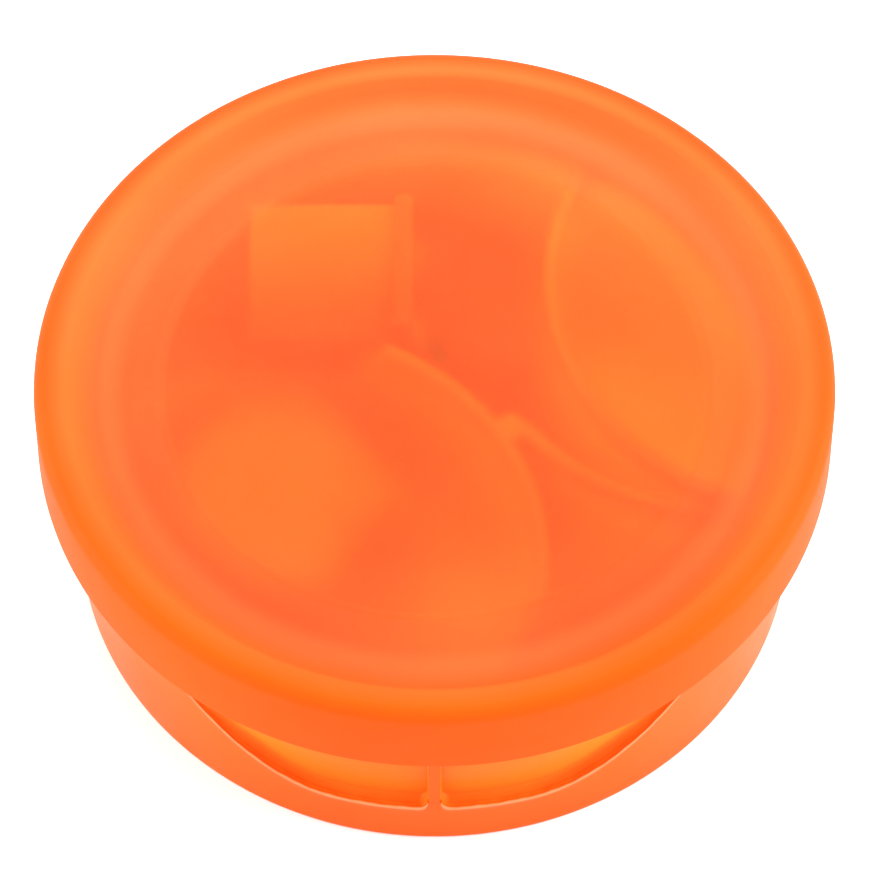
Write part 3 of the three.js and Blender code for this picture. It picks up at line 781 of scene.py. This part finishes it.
def pad_solid(inset, low, high):
    """The raised pad, drawn in by an inset: a disc with one straight side and a round notch."""
    x, y, radius = PAD
    along = (PAD_EDGE[1] - PAD_EDGE[0]).normalized()
    outward = Vector((-along.y, along.x))
    start = PAD_EDGE[0] - along * 20 - outward * inset
    end = PAD_EDGE[1] + along * 20 - outward * inset
    beyond = [tuple(point) for point in (start, end, end + outward * 30, start + outward * 30)]
    nx, ny, notch = PAD_NOTCH
    return cut(
        prism("pad", circle(radius - inset, x, y, 160), low, high),
        prism("beside", beyond, low - 1, high + 1),
        prism("notch", circle(notch + inset, nx, ny, 160), low - 1, high + 1),
    )


def knot():
    """The round post where two dividers meet."""
    x, y, radius = KNOT
    post = turned("knot", fillet([
        (0, TRAY_ROOT), (radius, TRAY_ROOT), (radius, DIVIDER_TOP, 0.5), (0, DIVIDER_TOP),
    ]), 48)
    post.data.transform(Matrix.Translation(Vector((x, y, 0)) * MM))
    return post


def compartment_tray():
    """The turned tray with its dividers, dished floor and raised pad, hollow below the pad."""
    furniture = join(
        front_divider(),
        divider("middle", MIDDLE_DIVIDER),
        divider("right", RIGHT_DIVIDER),
        knot(),
        dished_floor(),
        soften(pad_solid(0, TRAY_ROOT, PAD_TOP), 0.9, 5),
    )
    reach, above = TRAY_R - 0.5, BASE_TOP + 1
    bound = turned("bound", [(0, 0), (reach, 0), (reach, above), (0, above)])
    boolean(furniture, bound, "INTERSECT")
    tray = join(turned("tray", tray_profile()), furniture)
    cut(tray, pad_solid(PAD_WALL, TRAY_LOW.z - 1, PAD_TOP - PAD_WALL))
    finish_mesh(tray, 38)
    return tray


# ---------- pill seat ----------

def pill_seat():
    """A block with a V pocket for the tablet, a nose towards the knot and a slot for the blade."""
    left, right = SEAT_LOW.x, SEAT_HIGH.x
    front, rear = SEAT_FRONT, SEAT_HIGH.y
    bottom, top = SEAT_LOW.z, SEAT_HIGH.z
    open_front = front - 1
    body = block("seat", (left, front, bottom), (right, rear, top))
    pocket = [
        (CUT_X, V_APEX_Y),
        (CUT_X - V_HALF_WIDTH, front),
        (CUT_X - V_HALF_WIDTH, open_front),
        (CUT_X + V_HALF_WIDTH, open_front),
        (CUT_X + V_HALF_WIDTH, front),
    ]
    cut(body, prism("pocket", pocket, SEAT_BED, top + 1))
    join(body, prism("nose", SEAT_NOSE, bottom, SEAT_BED))
    cut(body, block("slot", (CUT_X - 0.7, open_front, SEAT_BED - 1.6), (CUT_X + 0.7, rear + 1, top + 1)))
    return soften(body, 0.35)


def pill_grip(name, side):
    """A soft strip along one arm of the V, its inner face cut into fine upright ribs."""
    arm = Vector((V_HALF_WIDTH, SEAT_FRONT - V_APEX_Y)).normalized()
    inward = Vector((arm.y, -arm.x))

    def at(along, across):
        point = Vector((0, V_APEX_Y)) + arm * along + inward * across
        return (CUT_X + side * point.x, point.y)

    steps = GRIP_RIBS * 4
    outline = [at(GRIP_START, GRIP_GAP), at(GRIP_END, GRIP_GAP)]
    for k in range(steps + 1):
        along = GRIP_END - (GRIP_END - GRIP_RIBS_START) * k / steps
        ripple = GRIP_RIB_DEPTH * (0.5 - 0.5 * math.cos(math.pi * k / 2))
        outline.append(at(along, GRIP_GAP + GRIP_THICKNESS - ripple))
    strip = prism(name, outline, GRIP_LOW.z, GRIP_HIGH.z)
    finish_mesh(strip, 60)
    return strip


# ---------- materials ----------

def new_material(name):
    """A material with its tree, its Principled shader and a node that gives object space."""
    material = bpy.data.materials.new(name)
    material.use_nodes = True
    tree = material.node_tree
    shader = tree.nodes["Principled BSDF"]
    coordinates = tree.nodes.new("ShaderNodeTexCoord")
    return material, tree, shader, coordinates


def noise(tree, coordinates, scale, detail, stretch=None):
    """A noise pattern in object space; scale is in cells per metre."""
    node = tree.nodes.new("ShaderNodeTexNoise")
    node.inputs["Scale"].default_value = scale
    node.inputs["Detail"].default_value = detail
    source = coordinates.outputs["Object"]
    if stretch:
        mapping = tree.nodes.new("ShaderNodeMapping")
        mapping.inputs["Scale"].default_value = stretch
        tree.links.new(source, mapping.inputs["Vector"])
        source = mapping.outputs["Vector"]
    tree.links.new(source, node.inputs["Vector"])
    return node.outputs["Fac"]


def ramp(tree, source, first, second):
    """Runs between two (position, colour) stops."""
    node = tree.nodes.new("ShaderNodeValToRGB")
    for element, (position, color) in zip(node.color_ramp.elements, (first, second)):
        element.position = position
        element.color = (*color, 1)
    tree.links.new(source, node.inputs["Fac"])
    return node.outputs["Color"]


def spread(tree, source, low, high):
    """Maps a 0 to 1 pattern onto a range of values."""
    node = tree.nodes.new("ShaderNodeMapRange")
    node.inputs["From Min"].default_value = 0.3
    node.inputs["From Max"].default_value = 0.7
    node.inputs["To Min"].default_value = low
    node.inputs["To Max"].default_value = high
    tree.links.new(source, node.inputs["Value"])
    return node.outputs["Result"]


def bump(tree, shader, source, distance, chain=None):
    """Raises the surface by a pattern, in millimetres, over an earlier bump if there is one."""
    node = tree.nodes.new("ShaderNodeBump")
    node.inputs["Strength"].default_value = 1.0
    node.inputs["Distance"].default_value = distance * MM
    tree.links.new(source, node.inputs["Height"])
    if chain:
        tree.links.new(chain, node.inputs["Normal"])
    tree.links.new(node.outputs["Normal"], shader.inputs["Normal"])
    return node.outputs["Normal"]


def eased(tree, value, low, high):
    """0 below low and 1 above high, in millimetres, with an eased run between."""
    share = tree.nodes.new("ShaderNodeMapRange")
    share.interpolation_type = "SMOOTHSTEP"
    share.inputs["From Min"].default_value = low * MM
    share.inputs["From Max"].default_value = high * MM
    tree.links.new(value, share.inputs["Value"])
    return share.outputs["Result"]


def radius_share(tree, coordinates, inner, outer):
    """0 inside an inner radius about Z and 1 outside an outer one."""
    flat = tree.nodes.new("ShaderNodeVectorMath")
    flat.operation = "MULTIPLY"
    flat.inputs[1].default_value = (1, 1, 0)
    tree.links.new(coordinates.outputs["Object"], flat.inputs[0])
    length = tree.nodes.new("ShaderNodeVectorMath")
    length.operation = "LENGTH"
    tree.links.new(flat.outputs[0], length.inputs[0])
    return eased(tree, length.outputs["Value"], inner, outer)


def axis_share(tree, coordinates, axis, low, high):
    """0 below one position on an axis and 1 above another."""
    split = tree.nodes.new("ShaderNodeSeparateXYZ")
    tree.links.new(coordinates.outputs["Object"], split.inputs[0])
    return eased(tree, split.outputs[axis], low, high)


def blend(tree, share, first, second):
    """Mixes two colours by a share from 0 to 1."""
    node = tree.nodes.new("ShaderNodeMix")
    node.data_type = "RGBA"
    tree.links.new(share, node.inputs["Factor"])
    for socket, value in ((node.inputs[6], first), (node.inputs[7], second)):
        if isinstance(value, tuple):
            socket.default_value = (*value, 1)
        else:
            tree.links.new(value, socket)
    return node.outputs[2]


def dye(tree, coordinates, color):
    """A dye that is a little cloudy, as in a moulded part."""
    deep = (color[0], color[1] * 0.94, color[2] * 0.88)
    pale = (color[0], min(1, color[1] * 1.06), min(1, color[2] * 1.12))
    return ramp(tree, noise(tree, coordinates, DYE_CLOUDS, 4), (0.3, deep), (0.7, pale))


def frosted(name, color, roughness, clear=0.0, ior=1.45):
    """Dyed polypropylene with uneven gloss, a fine spark-eroded grain and slow moulding waves."""
    material, tree, shader, coordinates = new_material(name)
    tree.links.new(dye(tree, coordinates, color), shader.inputs["Base Color"])
    gloss = spread(tree, noise(tree, coordinates, GLOSS_PATCHES, 3), roughness - 0.04, roughness + 0.04)
    tree.links.new(gloss, shader.inputs["Roughness"])
    slow = bump(tree, shader, noise(tree, coordinates, MOULD_WAVES, 2), WAVE_HEIGHT)
    bump(tree, shader, noise(tree, coordinates, SPARK_GRAIN, 2), GRAIN_HEIGHT, slow)
    shader.inputs["IOR"].default_value = ior
    shader.inputs["Transmission Weight"].default_value = clear
    return material, tree, shader, coordinates


def mix_values(tree, share, first, second):
    """A value that runs from first to second with a share from 0 to 1."""
    node = tree.nodes.new("ShaderNodeMix")
    tree.links.new(share, node.inputs["Factor"])
    for socket, value in ((node.inputs[2], first), (node.inputs[3], second)):
        if isinstance(value, float):
            socket.default_value = value
        else:
            tree.links.new(value, socket)
    return node.outputs[0]


def painted_gradient(tree, coordinates, axis, reach, first, second):
    """Painted light and shade: a colour that runs from one tone to another along an axis."""
    share = axis_share(tree, coordinates, axis, *reach)
    return blend(tree, share, dye(tree, coordinates, first), dye(tree, coordinates, second))


def lid_plastic():
    """Clearest in the middle disc, milkier round it, denser in the rim and skirt, with painted light
    that makes it paler towards the hinge and darker at the front.
    """
    look = frosted("frosted_lid", PANEL_FRONT_PAINTED, LID_ROUGHNESS, ior=LID_IOR)
    material, tree, shader, coordinates = look
    ring_share = radius_share(tree, coordinates, *STEP_REACH)
    dense = radius_share(tree, coordinates, *DENSE_REACH)
    milky = radius_share(tree, coordinates, *MILKY_REACH)
    outer = radius_share(tree, coordinates, *OUTER_REACH)
    skirt = painted_gradient(tree, coordinates, "Y", LID_LIGHT_REACH, SKIRT_FRONT_PAINTED, SKIRT_REAR_PAINTED)
    bead = painted_gradient(tree, coordinates, "Y", LID_LIGHT_REACH, BEAD_FRONT_PAINTED, BEAD_REAR_PAINTED)
    panel = painted_gradient(tree, coordinates, "Y", LID_LIGHT_REACH, PANEL_FRONT_PAINTED, PANEL_REAR_PAINTED)
    disc = painted_gradient(tree, coordinates, "Y", LID_LIGHT_REACH, DISC_FRONT_PAINTED, DISC_REAR_PAINTED)
    color = blend(tree, dense, blend(tree, ring_share, disc, panel), blend(tree, outer, bead, skirt))
    tree.links.new(color, shader.inputs["Base Color"])
    near_edge = radius_share(tree, coordinates, *DISC_EDGE_REACH)
    disc_clear = mix_values(tree, near_edge, DISC_CLEAR, EDGE_CLEAR)
    clear = mix_values(tree, ring_share, disc_clear, RING_CLEAR)
    tree.links.new(mix_values(tree, milky, clear, SKIRT_CLEAR), shader.inputs["Transmission Weight"])
    add_sheen(shader, LID_SHEEN)
    return material


def add_sheen(shader, weight):
    """The thin gloss of a moulded surface, which whitens it only at a glancing angle."""
    shader.inputs["Coat Weight"].default_value = weight
    shader.inputs["Coat Roughness"].default_value = 0.25
    shader.inputs["Coat IOR"].default_value = 1.15


def shaded(name, roughness, painted_shades):
    """A frosted plastic of the cutting station, with painted shade that darkens it towards the front."""
    material, tree, shader, coordinates = frosted(name, painted_shades[0], roughness)
    tree.links.new(painted_gradient(tree, coordinates, "Y", STATION_SHADE_REACH, *painted_shades), shader.inputs["Base Color"])
    return material


def tray_plastic():
    """Painted light and shade: darker on the left side, lighter on the right, and painted darker in the
    upper parts of the walls.
    """
    material, tree, shader, coordinates = frosted("tray_plastic", TRAY_LEFT_PAINTED, 0.45)
    floor = painted_gradient(tree, coordinates, "X", TRAY_LIGHT_REACH, TRAY_LEFT_PAINTED, TRAY_RIGHT_PAINTED)
    upper = axis_share(tree, coordinates, "Z", *TRAY_TOP_SHADE_REACH)
    color = blend(tree, upper, floor, dye(tree, coordinates, TRAY_TOP_SHADE))
    tree.links.new(color, shader.inputs["Base Color"])
    return material


def base_plastic():
    """Painted lighter on the recess face and inside, most towards the recess ends, with a painted
    highlight along the lip's proud edge.
    """
    look = frosted("frosted_base", BASE_DYE, BASE_ROUGHNESS, BASE_CLEAR, BASE_IOR)
    material, tree, shader, coordinates = look
    outer = radius_share(tree, coordinates, *OUTER_SKIN)
    inner = painted_gradient(tree, coordinates, "Y", RECESS_END_LIGHT_REACH, BASE_INNER_PAINTED, RECESS_END_PAINTED)
    wall = blend(tree, outer, inner, dye(tree, coordinates, BASE_DYE))
    # painted highlight on the proud lip edge, at the front only
    proud = radius_share(tree, coordinates, *PROUD_EDGE)
    behind = axis_share(tree, coordinates, "Y", *FRONT_ONLY)
    color = blend(tree, mix_values(tree, behind, proud, 0.0), wall, LIP_HIGHLIGHT)
    tree.links.new(color, shader.inputs["Base Color"])
    add_sheen(shader, BASE_SHEEN)
    return material


def steel(name, color, roughness, stretch, depth):
    """Ground steel: fine scratches drawn out along one direction."""
    material, tree, shader, coordinates = new_material(name)
    scratches = noise(tree, coordinates, SCRATCHES, 4, stretch)
    tone = tuple(c * 0.86 for c in color)
    gloss = spread(tree, scratches, roughness - 0.06, roughness + 0.08)
    tree.links.new(ramp(tree, scratches, (0.35, tone), (0.65, color)), shader.inputs["Base Color"])
    tree.links.new(gloss, shader.inputs["Roughness"])
    bump(tree, shader, scratches, depth)
    shader.inputs["Metallic"].default_value = 1.0
    return material


def soft_rubber(name, color):
    """A matte elastomer that light enters a little way, with a fine grain."""
    material, tree, shader, coordinates = new_material(name)
    cloud = noise(tree, coordinates, RUBBER_CLOUDS, 3)
    tone = tuple(c * 0.93 for c in color)
    tree.links.new(ramp(tree, cloud, (0.3, tone), (0.7, color)), shader.inputs["Base Color"])
    bump(tree, shader, noise(tree, coordinates, RUBBER_GRAIN, 2), 0.02)
    shader.inputs["Roughness"].default_value = 0.62
    shader.inputs["Subsurface Weight"].default_value = 0.4
    shader.inputs["Subsurface Radius"].default_value = (1.0, 0.7, 0.5)
    shader.inputs["Subsurface Scale"].default_value = 0.002
    return material


# ---------- assembly ----------

LID_LOOK = lid_plastic()
RAIL_LOOK = shaded("lid_rail", 0.5, RAIL_PAINTED_SHADES)
BASE_LOOK = base_plastic()
TRAY_LOOK = tray_plastic()
SEAT_LOOK = frosted("seat_plastic", SEAT_SHADOW_DYE, 0.45)[0]
HOLDER_LOOK = shaded("holder_plastic", 0.45, HOLDER_PAINTED_SHADES)
GRIP_LOOK = soft_rubber("soft_grip", GRIP_COLOR)
BLADE_LOOK = steel("blade_steel", BLADE_COLOR, 0.24, (1, 1, 0.06), 0.004)
FITTING_LOOK = steel("fitting_steel", FITTING_COLOR, 0.32, (0.08, 1, 1), 0.006)


def place(obj, name, node, body, look):
    """Names a finished piece, gives it its look, and lets it stand for its CAD node."""
    obj.name = name
    obj.data.name = name
    obj.data.materials.clear()
    obj.data.materials.append(look)
    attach(obj, body)
    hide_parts(node)
    return obj


place(lid_shell(), "lid_shell_fine", "lid_shell", "lid", LID_LOOK)
place(blade_rail(), "blade_rail_fine", "lid_shell", "lid", RAIL_LOOK)
place(blade(), "blade_fine", "blade", "lid", BLADE_LOOK)
place(blade_holder(), "blade_holder_fine", "blade_holder", "lid", HOLDER_LOOK)
for label, box in zip(("front", "rear"), SCREW_BOXES):
    node = f"blade_screw_{label}"
    place(blade_screw(node, box), f"{node}_fine", node, "lid", FITTING_LOOK)
place(base_shell(), "base_shell_fine", "base_shell", "base", BASE_LOOK)
place(compartment_tray(), "compartment_tray_fine", "compartment_tray", "base", TRAY_LOOK)
place(pill_seat(), "pill_seat_fine", "pill_seat", "base", SEAT_LOOK)
for label, side in (("left", -1), ("right", 1)):
    node = f"pill_grip_{label}"
    place(pill_grip(node, side), f"{node}_fine", node, "base", GRIP_LOOK)
place(hinge_pin(), "hinge_pin_fine", "hinge_pin", "base", FITTING_LOOK)


# ---------- stage ----------

CENTRE = (CAD_BOX[0] + CAD_BOX[1]) / 2
CAMERA_ELEVATION = math.radians(57.4)
CAMERA_DISTANCE = 0.412
CAMERA_LENS = 161.7
FLOOR_HALF = 3000.0  # millimetres
LIGHT_TARGET = Vector((0, 0, 0.015))
LIGHTS = [  # name, place in metres, diameter in metres, watts
    ("rear_key", (0.04, 0.22, 0.485), 0.44, 2.6),
    ("left_soft", (-0.8, 0.0, 0.3), 0.6, 9),
    ("right_soft", (0.8, 0.0, 0.3), 0.6, 11),
]
WORLD_STRENGTH = 1.1


def add_camera():
    """The camera in front of the part, looking down at the photo's angle."""
    data = bpy.data.cameras.new("camera")
    data.lens = CAMERA_LENS
    data.clip_start = 0.01
    camera = bpy.data.objects.new("camera", data)
    bpy.context.scene.collection.objects.link(camera)
    back = Vector((0, -math.cos(CAMERA_ELEVATION), math.sin(CAMERA_ELEVATION)))
    camera.location = Vector((0, 0, CENTRE.z)) + back * CAMERA_DISTANCE
    camera.rotation_euler = back.to_track_quat("Z", "Y").to_euler()
    bpy.context.scene.camera = camera


def add_floor():
    """A wide pale floor with a barely uneven tone."""
    h = FLOOR_HALF
    corners = [(-h, -h, 0), (h, -h, 0), (h, h, 0), (-h, h, 0)]
    floor = add_mesh("floor", corners, [(0, 1, 2, 3)])
    material, tree, shader, coordinates = new_material("pale_floor")
    cloud = noise(tree, coordinates, FLOOR_CLOUDS, 2)
    tone = ramp(tree, cloud, (0.3, FLOOR_TONES[0]), (0.7, FLOOR_TONES[1]))
    tree.links.new(tone, shader.inputs["Base Color"])
    shader.inputs["Roughness"].default_value = 0.9
    floor.data.materials.append(material)


def add_light(name, location, size, power):
    """A round soft light that faces the part and stays out of the camera's view."""
    data = bpy.data.lights.new(name, "AREA")
    data.shape = "DISK"
    data.size = size
    data.energy = power
    light = bpy.data.objects.new(name, data)
    bpy.context.scene.collection.objects.link(light)
    light.location = location
    light.visible_camera = False
    light.rotation_euler = (Vector(location) - LIGHT_TARGET).to_track_quat("Z", "Y").to_euler()


def add_world():
    """An even white surround."""
    world = bpy.data.worlds.new("studio")
    bpy.context.scene.world = world
    world.use_nodes = True
    background = world.node_tree.nodes["Background"]
    background.inputs["Color"].default_value = (1, 1, 1, 1)
    background.inputs["Strength"].default_value = WORLD_STRENGTH


add_camera()
add_floor()
add_world()
for light in LIGHTS:
    add_light(*light)
bpy.context.scene.view_settings.view_transform = "Standard"
